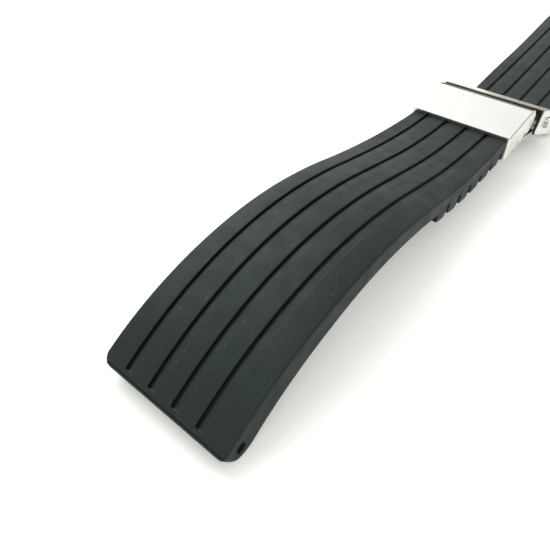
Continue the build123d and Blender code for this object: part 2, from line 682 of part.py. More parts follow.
def bar_tube(bar, end):
    """Spring bar tube with narrowed ends, as long to each side of the middle as given."""
    rod(bar, BAR_DIAMETER * HALF, -end, end)
    rod(bar, BAR_INSIDE * HALF, CRIMP_LENGTH - end, end - CRIMP_LENGTH, Mode.SUBTRACT)
    rod(bar, TIP_DIAMETER * HALF + TIP_CLEARANCE, -end, end, Mode.SUBTRACT)


def bar_spring(bar, tube_end):
    """Spring of a bar, as a plain sleeve between the pressed tips."""
    end = tube_end - CRIMP_LENGTH - SMALL_GAP - PISTON_LENGTH - TIP_TRAVEL - SMALL_GAP
    rod(bar, BAR_SPRING_DIAMETER * HALF, -end, end)
    rod(bar, BAR_SPRING_INSIDE * HALF, -end, end, Mode.SUBTRACT)


def bar_tip(bar, tube_end, hand):
    """Telescoping tip with its piston inside the tube, to the left or right."""
    shoulder = tube_end - CRIMP_LENGTH - SMALL_GAP
    rod(bar, BAR_INSIDE * HALF - PISTON_CLEARANCE, hand * (shoulder - PISTON_LENGTH), hand * shoulder)
    rod(bar, TIP_DIAMETER * HALF, hand * shoulder, hand * (tube_end + TIP_REACH))


with BuildPart() as near_bar_tube:
    bar_tube(near_bar, near_bar_half)
near_bar_tube.part.label = "near_bar_tube"
export_step(near_bar_tube.part, "parts/near_bar_tube.step")

with BuildPart() as far_bar_tube:
    bar_tube(far_bar, far_bar_half)
far_bar_tube.part.label = "far_bar_tube"
export_step(far_bar_tube.part, "parts/far_bar_tube.step")

with BuildPart() as near_bar_spring:
    bar_spring(near_bar, near_bar_half)
near_bar_spring.part.label = "near_bar_spring"
export_step(near_bar_spring.part, "parts/near_bar_spring.step")

with BuildPart() as far_bar_spring:
    bar_spring(far_bar, far_bar_half)
far_bar_spring.part.label = "far_bar_spring"
export_step(far_bar_spring.part, "parts/far_bar_spring.step")

with BuildPart() as near_tip_left:
    bar_tip(near_bar, near_bar_half, 1)
near_tip_left.part.label = "near_tip_left"
export_step(near_tip_left.part, "parts/near_tip_left.step")

with BuildPart() as near_tip_right:
    bar_tip(near_bar, near_bar_half, -1)
near_tip_right.part.label = "near_tip_right"
export_step(near_tip_right.part, "parts/near_tip_right.step")

with BuildPart() as far_tip_left:
    bar_tip(far_bar, far_bar_half, 1)
far_tip_left.part.label = "far_tip_left"
export_step(far_tip_left.part, "parts/far_tip_left.step")

with BuildPart() as far_tip_right:
    bar_tip(far_bar, far_bar_half, -1)
far_tip_right.part.label = "far_tip_right"
export_step(far_tip_right.part, "parts/far_tip_right.step")
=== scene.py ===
import json
import logging
from collections.abc import Callable
from dataclasses import dataclass, field
from enum import Enum
from math import asin, atan2, cos, hypot, pi, radians, sin

import bpy
import numpy as np
from mathutils import Matrix, Vector


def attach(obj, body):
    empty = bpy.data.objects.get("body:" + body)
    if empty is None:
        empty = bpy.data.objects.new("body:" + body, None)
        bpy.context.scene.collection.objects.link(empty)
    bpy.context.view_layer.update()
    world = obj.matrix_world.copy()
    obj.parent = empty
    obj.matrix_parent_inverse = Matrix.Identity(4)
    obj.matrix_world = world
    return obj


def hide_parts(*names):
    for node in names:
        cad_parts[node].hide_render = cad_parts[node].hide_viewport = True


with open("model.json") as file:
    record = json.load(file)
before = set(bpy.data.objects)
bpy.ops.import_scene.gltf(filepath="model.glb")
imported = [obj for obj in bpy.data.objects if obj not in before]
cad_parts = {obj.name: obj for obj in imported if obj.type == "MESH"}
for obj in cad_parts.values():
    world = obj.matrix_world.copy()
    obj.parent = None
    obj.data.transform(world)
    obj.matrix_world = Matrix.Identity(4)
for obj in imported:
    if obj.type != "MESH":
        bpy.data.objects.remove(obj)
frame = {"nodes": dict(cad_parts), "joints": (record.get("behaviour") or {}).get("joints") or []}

log = logging.getLogger("dive_strap")
MM = 0.001
SHARP_DEGREES = 32.0  # an edge that turns by more stays sharp

Triple = tuple[float, float, float]
Run = tuple[float, float]  # a run of the top line: its length in mm, and its turn in degrees


class Outward(Enum):
    """Which way a strap half runs from the clasp."""

    NEAR = -1
    FAR = 1


# ---------- shader helpers ----------


def group_shell(name: str, inputs: list[tuple[str, str, object]],
                outputs: list[tuple[str, str]]) -> tuple:
    """Start a shader node group with named sockets.

    Args:
        name: the group's name.
        inputs: name, socket type and default of each input.
        outputs: name and socket type of each output.

    Returns:
        The group tree, its input node and its output node.
    """
    tree = bpy.data.node_groups.new(name, "ShaderNodeTree")
    for label, kind, value in inputs:
        socket = tree.interface.new_socket(name=label, in_out="INPUT", socket_type=kind)
        socket.default_value = value
    for label, kind in outputs:
        tree.interface.new_socket(name=label, in_out="OUTPUT", socket_type=kind)
    return tree, tree.nodes.new("NodeGroupInput"), tree.nodes.new("NodeGroupOutput")


def node(tree: bpy.types.NodeTree, kind: str, **settings: object) -> bpy.types.Node:
    """Add a node and set its plain properties.

    Args:
        tree: the tree that gets the node.
        kind: the node's type name.
        settings: property names and their values.

    Returns:
        The new node.
    """
    made = tree.nodes.new(kind)
    for key, value in settings.items():
        setattr(made, key, value)
    return made


def feed(tree: bpy.types.NodeTree, slot: bpy.types.NodeSocket, value: object) -> None:
    """Feed an input: link a socket to it, or set it to a plain value."""
    if isinstance(value, bpy.types.NodeSocket):
        tree.links.new(value, slot)
    else:
        slot.default_value = value


def math_node(tree: bpy.types.NodeTree, operation: str, first: object, second: object = 0.0,
              third: object = 0.0) -> bpy.types.NodeSocket:
    """Add a math node whose inputs are sockets or numbers, and return its output."""
    made = node(tree, "ShaderNodeMath", operation=operation)
    for slot, value in zip(made.inputs, (first, second, third)):
        feed(tree, slot, value)
    return made.outputs[0]


def ramp(tree: bpy.types.NodeTree, value: bpy.types.NodeSocket, low: object, high: object,
         start: float = 0.0, end: float = 1.0) -> bpy.types.NodeSocket:
    """Smoothly map a value from one range to another.

    Args:
        tree: the tree that gets the node.
        value: the socket to map.
        low: where the given range starts, a socket or a number.
        high: where the given range ends, a socket or a number.
        start: the result at low.
        end: the result at high.

    Returns:
        The mapped socket.
    """
    made = node(tree, "ShaderNodeMapRange", interpolation_type="SMOOTHSTEP")
    tree.links.new(value, made.inputs["Value"])
    labels = ("From Min", "From Max", "To Min", "To Max")
    for label, number in zip(labels, (low, high, start, end)):
        feed(tree, made.inputs[label], number)
    return made.outputs["Result"]


def object_place(tree: bpy.types.NodeTree) -> bpy.types.NodeSocket:
    """Add a coordinate node and return the object position."""
    return node(tree, "ShaderNodeTexCoord").outputs["Object"]


def noise(tree: bpy.types.NodeTree, place: bpy.types.NodeSocket, scale: object, detail: float,
          distortion: float = 0.0) -> bpy.types.NodeSocket:
    """Add a noise texture at a place, and return its value.

    Args:
        tree: the tree that gets the node.
        place: the position to read the noise at.
        scale: how often it repeats per metre, a socket or a number.
        detail: octaves.
        distortion: how much the noise is bent.

    Returns:
        The noise, from 0 to 1.
    """
    made = node(tree, "ShaderNodeTexNoise")
    tree.links.new(place, made.inputs["Vector"])
    feed(tree, made.inputs["Scale"], scale)
    made.inputs["Detail"].default_value = detail
    made.inputs["Distortion"].default_value = distortion
    return made.outputs["Fac"]


def mix_colour(tree: bpy.types.NodeTree, share: bpy.types.NodeSocket, first: object,
               second: object) -> bpy.types.NodeSocket:
    """Mix two colours, each a socket or a plain colour, by a share."""
    made = node(tree, "ShaderNodeMix", data_type="RGBA")
    tree.links.new(share, made.inputs["Factor"])
    for slot, value in ((made.inputs["A"], first), (made.inputs["B"], second)):
        feed(tree, slot, value if isinstance(value, bpy.types.NodeSocket) else (*value, 1.0))
    return made.outputs["Result"]


def bump(tree: bpy.types.NodeTree, height: bpy.types.NodeSocket, strength: float, reach: float,
         shader: bpy.types.Node) -> None:
    """Feed a height into the shader's normal through a Bump node."""
    made = node(tree, "ShaderNodeBump")
    made.inputs["Strength"].default_value = strength
    made.inputs["Distance"].default_value = reach
    tree.links.new(height, made.inputs["Height"])
    tree.links.new(made.outputs["Normal"], shader.inputs["Normal"])


# ---------- shader groups ----------

COARSE_OVER_FINE = 0.11  # scale of the coarse grain over the fine grain's
# Squeeze and turn of the space that round specks and lint are drawn in.
SPECK_SHAPE = ((1.0, 1.0, 1.0), (0.0, 0.0, 0.0))
LINT_SHAPE = ((0.32, 2.2, 1.0), (0.0, 0.0, 0.9))
BRUSH_LAYERS = (("Height", 1.0, 3.0), ("Tone", 0.25, 2.0))  # output, scale and detail


def grain_group() -> bpy.types.NodeTree:
    """Fine moulded or blasted grain.

    Formula: height = fine noise + coarse share x coarse noise, both of the object position times
    their scale.
    """
    tree, given, out = group_shell(
        "surface_grain",
        [("Scale", "NodeSocketFloat", 3000.0), ("Coarse Share", "NodeSocketFloat", 0.4)],
        [("Height", "NodeSocketFloat"), ("Mottle", "NodeSocketFloat")],
    )
    place = object_place(tree)
    fine = noise(tree, place, given.outputs["Scale"], detail=3.0)
    wide = math_node(tree, "MULTIPLY", given.outputs["Scale"], COARSE_OVER_FINE)
    coarse = noise(tree, place, wide, detail=4.0)
    share = math_node(tree, "MULTIPLY", coarse, given.outputs["Coarse Share"])
    tree.links.new(math_node(tree, "ADD", fine, share), out.inputs["Height"])
    tree.links.new(coarse, out.inputs["Mottle"])
    return tree


def dust_group() -> bpy.types.NodeTree:
    """Sparse pale specks and lint lying on a surface.

    Formula: a cell shows a speck where its random number passes the rarity and the distance to the
    cell's point is under the size; lint does the same in space squeezed along one way.
    """
    tree, given, out = group_shell(
        "settled_dust",
        [("Cells", "NodeSocketFloat", 300.0), ("Size", "NodeSocketFloat", 0.1),
         ("Rarity", "NodeSocketFloat", 0.8), ("Lint", "NodeSocketFloat", 0.5)],
        [("Mask", "NodeSocketFloat")],
    )
    place = object_place(tree)
    masks = []
    for squeeze, turn in (SPECK_SHAPE, LINT_SHAPE):
        mapped = node(tree, "ShaderNodeMapping")
        tree.links.new(place, mapped.inputs["Vector"])
        mapped.inputs["Scale"].default_value = squeeze
        mapped.inputs["Rotation"].default_value = turn
        cells = node(tree, "ShaderNodeTexVoronoi", voronoi_dimensions="3D", feature="F1")
        tree.links.new(mapped.outputs["Vector"], cells.inputs["Vector"])
        tree.links.new(given.outputs["Cells"], cells.inputs["Scale"])
        near = math_node(tree, "LESS_THAN", cells.outputs["Distance"], given.outputs["Size"])
        parts = node(tree, "ShaderNodeSeparateColor")
        tree.links.new(cells.outputs["Color"], parts.inputs["Color"])
        kept = math_node(tree, "GREATER_THAN", parts.outputs[0], given.outputs["Rarity"])
        bright = math_node(tree, "MULTIPLY", near, kept)
        masks.append(math_node(tree, "MULTIPLY", bright, parts.outputs[1]))
    specks, threads = masks
    lint = math_node(tree, "MULTIPLY", threads, given.outputs["Lint"])
    tree.links.new(math_node(tree, "MAXIMUM", specks, lint), out.inputs["Mask"])
    return tree


def brush_group() -> bpy.types.NodeTree:
    """Brushed lines of a linished surface.

    Formula: height = noise of the object position scaled by (Along, Across, Up), so the lines run
    where the scale is small; Tone is a wider noise of the same lines.
    """
    tree, given, out = group_shell(
        "brushed_lines",
        [("Stretch", "NodeSocketVector", (60.0, 6000.0, 6000.0)),
         ("Breadth", "NodeSocketFloat", 1.0)],
        [("Height", "NodeSocketFloat"), ("Tone", "NodeSocketFloat")],
    )
    stretched = node(tree, "ShaderNodeVectorMath", operation="MULTIPLY")
    tree.links.new(object_place(tree), stretched.inputs[0])
    tree.links.new(given.outputs["Stretch"], stretched.inputs[1])
    for label, scale, detail in BRUSH_LAYERS:
        sized = math_node(tree, "MULTIPLY", given.outputs["Breadth"], scale)
        lines = noise(tree, stretched.outputs["Vector"], sized, detail)
        tree.links.new(lines, out.inputs[label])
    return tree


def smudge_group() -> bpy.types.NodeTree:
    """Handling marks: a soft cloudy mask.

    Formula: mask = smoothstep of a distorted noise of the object position.
    """
    tree, given, out = group_shell(
        "handling_marks",
        [("Scale", "NodeSocketFloat", 180.0), ("Low", "NodeSocketFloat", 0.45),
         ("High", "NodeSocketFloat", 0.7)],
        [("Mask", "NodeSocketFloat")],
    )
    cloud = noise(tree, object_place(tree), given.outputs["Scale"], detail=5.0, distortion=0.8)
    mask = ramp(tree, cloud, given.outputs["Low"], given.outputs["High"])
    tree.links.new(mask, out.inputs["Mask"])
    return tree


@dataclass
class ShaderShelf:
    """The shared shader groups, built once."""

    groups: dict[str, bpy.types.NodeTree] = field(default_factory=dict)

    def take(self, maker: Callable) -> bpy.types.NodeTree:
        """Return the group that a maker builds, building it the first time."""
        if maker.__name__ not in self.groups:
            self.groups[maker.__name__] = maker()
        return self.groups[maker.__name__]

    def place(self, tree: bpy.types.NodeTree, maker: Callable, **values: object) -> bpy.types.Node:
        """Put a shared group into a material with its own values.

        Args:
            tree: the material's node tree.
            maker: the function that builds the group.
            values: input names, with underscores for spaces, and their values.

        Returns:
            The group node.
        """
        made = node(tree, "ShaderNodeGroup", node_tree=self.take(maker))
        for label, value in values.items():
            made.inputs[label.replace("_", " ")].default_value = value
        return made


SHELF = ShaderShelf()


def new_material(name: str) -> tuple[bpy.types.Material, bpy.types.NodeTree, bpy.types.Node]:
    """Start a material and return it with its tree and its Principled shader."""
    made = bpy.data.materials.new(name)
    made.use_nodes = True
    tree = made.node_tree
    return made, tree, tree.nodes["Principled BSDF"]


# ---------- finishes ----------


@dataclass(frozen=True)
class StrapRubber:
    """Matt charcoal rubber with a faint green to blue tint, dust, and painted shade in its hollows.
    """

    green: Triple = (0.0105, 0.0150, 0.0132)
    blue: Triple = (0.0120, 0.0145, 0.0158)
    # painted shade: the colour that the hollow attribute lays into the grooves, the end crease and
    # the ridge valleys
    hollow: Triple = (0.0020, 0.0025, 0.0024)
    speck: Triple = (0.22, 0.24, 0.22)
    gloss: Triple = (0.80, 1.0, 0.92)
    gleam: float = 0.28
    mottle: tuple[float, float] = (0.3, 0.7)
    roughness: tuple[float, float] = (0.5, 0.62)
    relief: float = 0.2
    reach: float = 0.00005

    def material(self) -> bpy.types.Material:
        """Build the rubber material; the piece's own hollow attribute paints shade into its
        hollows.
        """
        made, tree, shader = new_material("strap_rubber_matt")
        grain = SHELF.place(tree, grain_group, Scale=3200.0, Coarse_Share=0.5)
        cloud = SHELF.place(tree, smudge_group, Scale=130.0, Low=0.3, High=0.7)
        dust = SHELF.place(tree, dust_group, Cells=1400.0, Size=0.07, Rarity=0.5, Lint=0.7)
        hollow = node(tree, "ShaderNodeAttribute", attribute_type="GEOMETRY",
                      attribute_name="hollow")
        tinted = mix_colour(tree, cloud.outputs["Mask"], self.green, self.blue)
        # painted shade: the hollow share darkens the grooves, the crease and the valleys
        shaded = mix_colour(tree, hollow.outputs["Fac"], tinted, self.hollow)
        open_face = math_node(tree, "SUBTRACT", 1.0, hollow.outputs["Fac"])
        shown = math_node(tree, "MULTIPLY", dust.outputs["Mask"], open_face)
        dusty = mix_colour(tree, shown, shaded, self.speck)
        tree.links.new(dusty, shader.inputs["Base Color"])
        rough = ramp(tree, grain.outputs["Mottle"], *self.mottle, *self.roughness)
        tree.links.new(rough, shader.inputs["Roughness"])
        shader.inputs["Specular IOR Level"].default_value = self.gleam
        shader.inputs["Specular Tint"].default_value = (*self.gloss, 1)
        bump(tree, grain.outputs["Height"], self.relief, self.reach, shader)
        return made


@dataclass(frozen=True)
class Band:
    """A band of painted light and shade that shows past a place along x; lengths are in
    millimetres.
    """

    start: float  # place where it begins to show
    full: float  # place from which it shows in full
    side: float  # half width
    paint: Triple
    fade: float = 0.2  # how far it takes to fade out at its sides


@dataclass(frozen=True)
class BrushedSteel:
    """Brushed stainless steel whose lines run along one way, with bands of painted light and shade.
    """

    name: str
    stretch: Triple
    tone: Triple = (0.82, 0.81, 0.765)
    shade: Triple = (0.805, 0.795, 0.755)
    roughness: tuple[float, float] = (0.28, 0.33)
    relief: float = 0.02
    bands: tuple[Band, ...] = ()
    streaks: tuple[float, float] = (0.35, 0.65)
    sheen: tuple[float, float] = (0.3, 0.7)
    smear: float = 0.08
    reach: float = 0.00003

    def material(self) -> bpy.types.Material:
        """Build the brushed material."""
        made, tree, shader = new_material(self.name)
        lines = SHELF.place(tree, brush_group, Stretch=self.stretch, Breadth=1.0)
        marks = SHELF.place(tree, smudge_group, Scale=240.0, Low=0.45, High=0.75)
        toned = ramp(tree, lines.outputs["Tone"], *self.streaks)
        colour = mix_colour(tree, toned, self.shade, self.tone)
        parts = node(tree, "ShaderNodeSeparateXYZ")
        tree.links.new(object_place(tree), parts.inputs[0])
        across = math_node(tree, "ABSOLUTE", parts.outputs["Y"])
        # painted shadow and painted reflection bands over the brushed colour
        for band in self.bands:
            along = ramp(tree, parts.outputs["X"], band.start * MM, band.full * MM)
            inside = ramp(tree, across, band.side * MM, (band.side + band.fade) * MM, 1.0, 0.0)
            share = math_node(tree, "MULTIPLY", along, inside)
            colour = mix_colour(tree, share, colour, band.paint)
        tree.links.new(colour, shader.inputs["Base Color"])
        rough = ramp(tree, lines.outputs["Tone"], *self.sheen, *self.roughness)
        soft = math_node(tree, "MULTIPLY", marks.outputs["Mask"], self.smear)
        tree.links.new(math_node(tree, "ADD", rough, soft), shader.inputs["Roughness"])
        shader.inputs["Metallic"].default_value = 1.0
        bump(tree, lines.outputs["Height"], self.relief, self.reach, shader)
        return made


@dataclass(frozen=True)
class PolishedSteel:
    """Polished or turned steel with fine marks and a little grime."""

    name: str
    tone: Triple = (0.74, 0.735, 0.70)
    grime: Triple = (0.30, 0.29, 0.26)
    roughness: tuple[float, float] = (0.10, 0.24)
    soil: float = 0.35
    relief: float = 0.08
    reach: float = 0.00002

    def material(self) -> bpy.types.Material:
        """Build the polished material."""
        made, tree, shader = new_material(self.name)
        marks = SHELF.place(tree, smudge_group, Scale=420.0, Low=0.42, High=0.72)
        grain = SHELF.place(tree, grain_group, Scale=5200.0, Coarse_Share=0.3)
        share = math_node(tree, "MULTIPLY", marks.outputs["Mask"], self.soil)
        colour = mix_colour(tree, share, self.tone, self.grime)
        tree.links.new(colour, shader.inputs["Base Color"])
        rough = ramp(tree, marks.outputs["Mask"], 0.0, 1.0, *self.roughness)
        tree.links.new(rough, shader.inputs["Roughness"])
        shader.inputs["Metallic"].default_value = 1.0
        bump(tree, grain.outputs["Height"], self.relief, self.reach, shader)
        return made


# ---------- meshes ----------


def mesh_object(name: str, points: np.ndarray, faces: list,
                hollow: np.ndarray | None = None) -> bpy.types.Object:
    """Make an object from points in millimetres and faces, with outward normals.

    The sign of the volume, the sum of p0 . (p1 x p2) / 6 over the triangles, tells whether the
    faces point inwards and have to be turned round.

    Args:
        name: the object's name.
        points: N x 3 points in millimetres.
        faces: vertex numbers of each face.
        hollow: N shares of painted shade for the hollow attribute, or None.

    Returns:
        The linked object.
    """
    mesh = bpy.data.meshes.new(name)
    mesh.from_pydata((points * MM).tolist(), [], faces)
    mesh.update()
    mesh.calc_loop_triangles()
    corners = np.empty(len(mesh.loop_triangles) * 3, dtype=np.int64)
    mesh.loop_triangles.foreach_get("vertices", corners)
    tri = points[corners.reshape(-1, 3)]
    volume = np.einsum("ij,ij->i", tri[:, 0], np.cross(tri[:, 1], tri[:, 2])).sum()
    if volume < 0:
        mesh.flip_normals()
    if hollow is not None:
        layer = mesh.attributes.new("hollow", "FLOAT", "POINT")
        layer.data.foreach_set("value", hollow.astype(np.float32))
    mesh.polygons.foreach_set("use_smooth", np.ones(len(mesh.polygons), dtype=bool))
    mesh.set_sharp_from_angle(angle=radians(SHARP_DEGREES))
    made = bpy.data.objects.new(name, mesh)
    bpy.context.scene.collection.objects.link(made)
    return made


def rod_mesh(name: str, centres: list[tuple[float, float]], radii: list[float], half: float,
             sides: int = 48) -> bpy.types.Object:
    """Closed round rods across the strap, used to cut bores.

    Formula: p(a, y) = (cx + r cos a, y, cz + r sin a) for a in 0..2 pi and y = -half, +half.

    Args:
        name: the object's name.
        centres: x and z of each rod, in millimetres.
        radii: radius of each rod.
        half: half the rods' length.
        sides: sides of each rod.

    Returns:
        The linked object.
    """
    turn = np.linspace(0, 2 * pi, sides, endpoint=False)
    points, faces = [], []
    for (x, z), radius in zip(centres, radii):
        base = sum(len(block) for block in points)
        round_x, round_z = x + radius * np.cos(turn), z + radius * np.sin(turn)
        ring = np.stack([round_x, np.full(sides, -half), round_z], 1)
        points.append(np.concatenate([ring, ring + [0, 2 * half, 0]]))
        now = np.arange(sides)
        after = (now + 1) % sides
        quads = np.stack([now, after, after + sides, now + sides], 1) + base
        faces += quads.tolist()
        faces.append((now[::-1] + base).tolist())
        faces.append((now + sides + base).tolist())
    return mesh_object(name, np.concatenate(points), faces)


def smoothstep(value: np.ndarray) -> np.ndarray:
    """Smooth step: v^2 x (3 - 2 v), with v held between 0 and 1."""
    share = np.clip(value, 0, 1)
    return share * share * (3 - 2 * share)


def round_inset(along: float, deep: float, from_end: np.ndarray) -> np.ndarray:
    """How far a rounded end draws a face in.

    Formula: deep x (1 - sqrt(1 - short^2)), where short is 1 - from_end / along, between 0 and 1.

    Args:
        along: how far the round reaches along the strap.
        deep: how far it draws the face in at the very end.
        from_end: distances from the end.

    Returns:
        The inset at each distance.
    """
    short = np.clip(1 - from_end / along, 0, 1)
    return deep * (1 - np.sqrt(1 - short ** 2))


# The strap's fine sizes, in millimetres. Right is -y and left is +y.
LINE_STEPS = 9001  # points of the top line that distances are read from
LINE_MARGIN = 1  # that line's start past the stub
STATIONS = 110  # even cross sections, besides the ones at ends and ridges
END_STEPS = 13  # cross sections over a rounded end
STATION_DIGITS = 4  # decimals to which their distances are rounded
SAME_PLACE = 1e-6  # places nearer than this are one
RIDGE_MARKS = np.concatenate([
    np.linspace(-0.62, 0.62, 9),
    [-0.66, 0.66, -0.74, 0.74, -0.86, 0.86, -1.02, 1.02, -1.2, 1.2, -1.34, 1.34],
])  # cross sections on both sides of a valley's middle
GROOVES = 4
GROOVE_FADE = 0.35  # length in which a slit runs out
FADE_MARKS = np.array([0.0, 0.1, 0.2, GROOVE_FADE])
CREASE_HALF = 0.09  # the crease behind the end bead: half width, depth and hollow share
CREASE_DEPTH = 0.13
CREASE_SHADE = 0.55
CREASE_MARKS = np.array([0.0, 0.06, 0.12, 0.18])
SWELL_START, SWELL_RUN = 6, 10  # where the body's swell starts, and how far it takes to grow
ARCH_START = 10.0  # where the arch of the top starts, how far it takes to grow and to fade
ARCH_RUN = 28.0
ARCH_POWER = 2.6
TWIST_START, TWIST_RUN, TWIST_FADE = 8, 20, 28
SKEW_REACH, SKEW_RUN = 16, 14  # where the skewed end starts, before the end, and how far it takes
TOP_EDGE_STEPS, LOW_EDGE_STEPS, BASE_STEPS = 8, 6, 15
OUTER_SHARES = np.array([0.2, 0.4, 0.6, 0.8, 1.0])
SIDE_SHARES = np.array([0.2, 0.4, 0.6, 0.8])
BORE_TOOL_HALF = 14.0
# Place, depth and painted-shade share across a slit and the bank beside it, and the flat ribs'
# places.
# Both are written as seen from below, and turned over when they are used.
GROOVE_PROFILE = np.array([
    [-0.50, 0.0, 0.0], [-0.35, 0.012, 0.2], [-0.27, 0.05, 0.7], [-0.235, 0.14, 1.0],
    [-0.22, 0.50, 1.0], [-0.10, 0.55, 1.0], [0.10, 0.55, 1.0], [0.22, 0.50, 1.0],
    [0.235, 0.24, 1.0], [0.28, 0.16, 0.8], [0.38, 0.14, 0.35], [0.60, 0.118, 0.14],
    [0.90, 0.085, 0.08], [1.14, 0.06, 0.04], [1.22, 0.048, 0.02], [1.28, 0.006, 0.0],
    [1.36, 0.0, 0.0],
])
RIB_PLACES = (-5.0, -4.2, -3.5, -0.8, 0.1, 0.8, 3.5, 4.3, 5.1)


@dataclass
class StrapHalf:
    """One moulded rubber half: grooved top, ridged underside, rounded lug end and bores.

    Sizes are in millimetres and degrees. The construction sizes follow the part's source, and the
    lug end's follow the photograph.
    """

    name: str  # the CAD node that the half stands for
    way: Outward
    bar: tuple[float, float]  # the clasp's spring bar, x and z
    curve: tuple[Run, ...]  # the top line outward of the bar
    lug_width: float = 22.25
    cut_width: float = 19.65
    body: float = 3.3  # thickness next to the clasp
    lug_thick: float = 4.6
    over_bar: float = 2.8  # from the bar up to the top line
    stub: float = 1.8  # strap past the bar, inside the clasp
    nose: tuple[float, float] = (0.42, 0.8)  # round of the end's top edge, along and deep
    foot: tuple[float, float] = (3.6, 3.3)  # round of the end's lower edge, along and deep
    swell: float = 0.17  # extra thickness of the visible body
    corners: tuple[float, float] = (1.0, 1.8)  # rounds of the end's right and left corner
    edge: float = 0.3  # round of the top's long edges
    under_edge: float = 0.3  # round of the underside's long edges
    pitch: float = 4.75  # from ridge to ridge
    ridges: int = 8
    ridge_half: float = 1.75
    ridge_round: float = 0.7
    valley: float = 0.7  # radius of the hollow between two ridges
    drops: tuple[float, float] = (1.0, 1.7)  # depth of the first and the last ridge
    groove_pitch: float = 4.28  # from slit to slit
    groove_end: float = 1.15  # where the slits stop, from the lug end
    groove_shift: float = 0.54  # how far the slits lie to the left of the middle
    lug_bore: Triple = (2.0, 2.4, 0.8)  # from the end, under the top, and radius
    bar_bore: float = 0.8  # radius
    taper: tuple[float, float] = (0.38, 0.75)  # shares of the length where the body thickens
    dome: float = 0.95  # most that the arched top's edges sag
    twist: float = 0.0  # how far the left edge is raised, and the right one lowered, midway
    skew: float = 0.0  # how far the end's right corner runs out, for each millimetre off the middle
    extra: float = 0.0  # how much longer the visible half is than the solid
    cad_foot: float = 0.9  # round of the solid's lower end edge, on which it rests

    @property
    def length(self) -> float:
        """Length of the top line outward of the bar."""
        return sum(run for run, _ in self.curve)

    def top_line(self, s: np.ndarray) -> tuple[np.ndarray, np.ndarray, np.ndarray]:
        """Top line at distances from the bar.

        Formula: heading(s) is piecewise linear; x(s) = integral of cos(heading), z(s) = over_bar +
        integral of sin(heading), by the trapezoid rule on a fine grid.

        Args:
            s: distances from the bar.

        Returns:
            Local x and z, and the heading in radians, at each distance.
        """
        knots = np.concatenate([[0], np.cumsum([run for run, _ in self.curve])])
        turns = np.radians(np.concatenate([[0], np.cumsum([turn for _, turn in self.curve])]))
        fine = np.linspace(-self.stub - LINE_MARGIN, self.length, LINE_STEPS)
        heading = np.interp(fine, knots, turns)
        step = np.diff(fine)
        level, rise = np.cos(heading), np.sin(heading)
        x = np.concatenate([[0], np.cumsum((level[1:] + level[:-1]) / 2 * step)])
        z = np.concatenate([[0], np.cumsum((rise[1:] + rise[:-1]) / 2 * step)])
        x -= np.interp(0, fine, x)
        z += self.over_bar - np.interp(0, fine, z)
        return np.interp(s, fine, x), np.interp(s, fine, z), np.interp(s, fine, heading)

    def below(self, s: float, depth: float) -> tuple[float, float]:
        """Local side-view point at a depth under the top line."""
        x, z, heading = (float(value) for value in self.top_line(np.array(s)))
        return x + depth * sin(heading), z - depth * cos(heading)

    @property
    def rest(self) -> float:
        """Turn about the bar that sets the solid's lower lug edge on the table, in radians.

        Formula: the middle of that edge's round has to lie its radius over the table, so the turn
        is asin((radius - bar height) / distance) - atan2(z, x) of that middle.
        """
        x, z = self.below(self.length - self.extra - self.cad_foot, self.lug_thick - self.cad_foot)
        return asin((self.cad_foot - self.bar[1]) / hypot(x, z)) - atan2(z, x)

    def to_row(self, x: np.ndarray, y: np.ndarray, z: np.ndarray) -> np.ndarray:
        """Turn local side-view points by the rest angle and set them at the bar."""
        turn = self.rest
        level = x * cos(turn) - z * sin(turn)
        rise = x * sin(turn) + z * cos(turn)
        return np.stack([self.bar[0] + self.way.value * level, y, self.bar[1] + rise], -1)

    def stations(self) -> np.ndarray:
        """Distances of the cross sections: close at the ends and at every ridge wall."""
        marks = [np.linspace(-self.stub, self.length, STATIONS)]
        ends = 1 - np.cos(np.linspace(0, pi / 2, END_STEPS))
        for radius in (*self.corners, self.nose[0], self.foot[0]):
            marks.append(self.length - radius * ends)
        marks.append(-self.stub + self.under_edge * ends)
        for index in range(-1, self.ridges):
            marks.append((index + 0.5) * self.pitch + RIDGE_MARKS)
        marks.append(self.length - self.groove_end - FADE_MARKS)
        marks.append(self.length - self.nose[0] - CREASE_MARKS)
        found = np.unique(np.round(np.concatenate(marks), STATION_DIGITS))
        return found[(found >= -self.stub) & (found <= self.length)]

    def swelling(self, s: np.ndarray) -> np.ndarray:
        """Extra thickness of the visible body, growing outward of the clasp."""
        return self.swell * np.clip((s - SWELL_START) / SWELL_RUN, 0, 1)

    def total_thickness(self, s: np.ndarray) -> np.ndarray:
        """Thickness with ridges.

        Formula: body(s) + drop x lobe(d), where d is the distance to the nearest ridge's middle
        and the lobe has quarter-round corners; under a valley the body is hollowed by a round of
        the valley radius.
        """
        share = np.clip((s / self.length - self.taper[0]) / (self.taper[1] - self.taper[0]), 0, 1)
        body = self.body + self.swelling(s) + (self.lug_thick - self.body) * share
        index = np.clip(np.round(s / self.pitch), 0, self.ridges - 1)
        drop = self.drops[0] + (self.drops[1] - self.drops[0]) * index / (self.ridges - 1)
        away = np.abs(s - index * self.pitch)
        into = np.clip(away - (self.ridge_half - self.ridge_round), 0, self.ridge_round)
        lobe = drop - self.ridge_round + np.sqrt(self.ridge_round ** 2 - into ** 2)
        middle = (np.floor(s / self.pitch) + 0.5) * self.pitch
        off = np.abs(s - middle)
        in_zone = (s > 0) & (s < (self.ridges - 1) * self.pitch)
        cut = np.sqrt(np.clip(self.valley ** 2 - off ** 2, 0, None))
        hollow = np.where(in_zone & (off < self.valley), cut, 0)
        return np.where(away <= self.ridge_half, body + lobe, body - hollow)

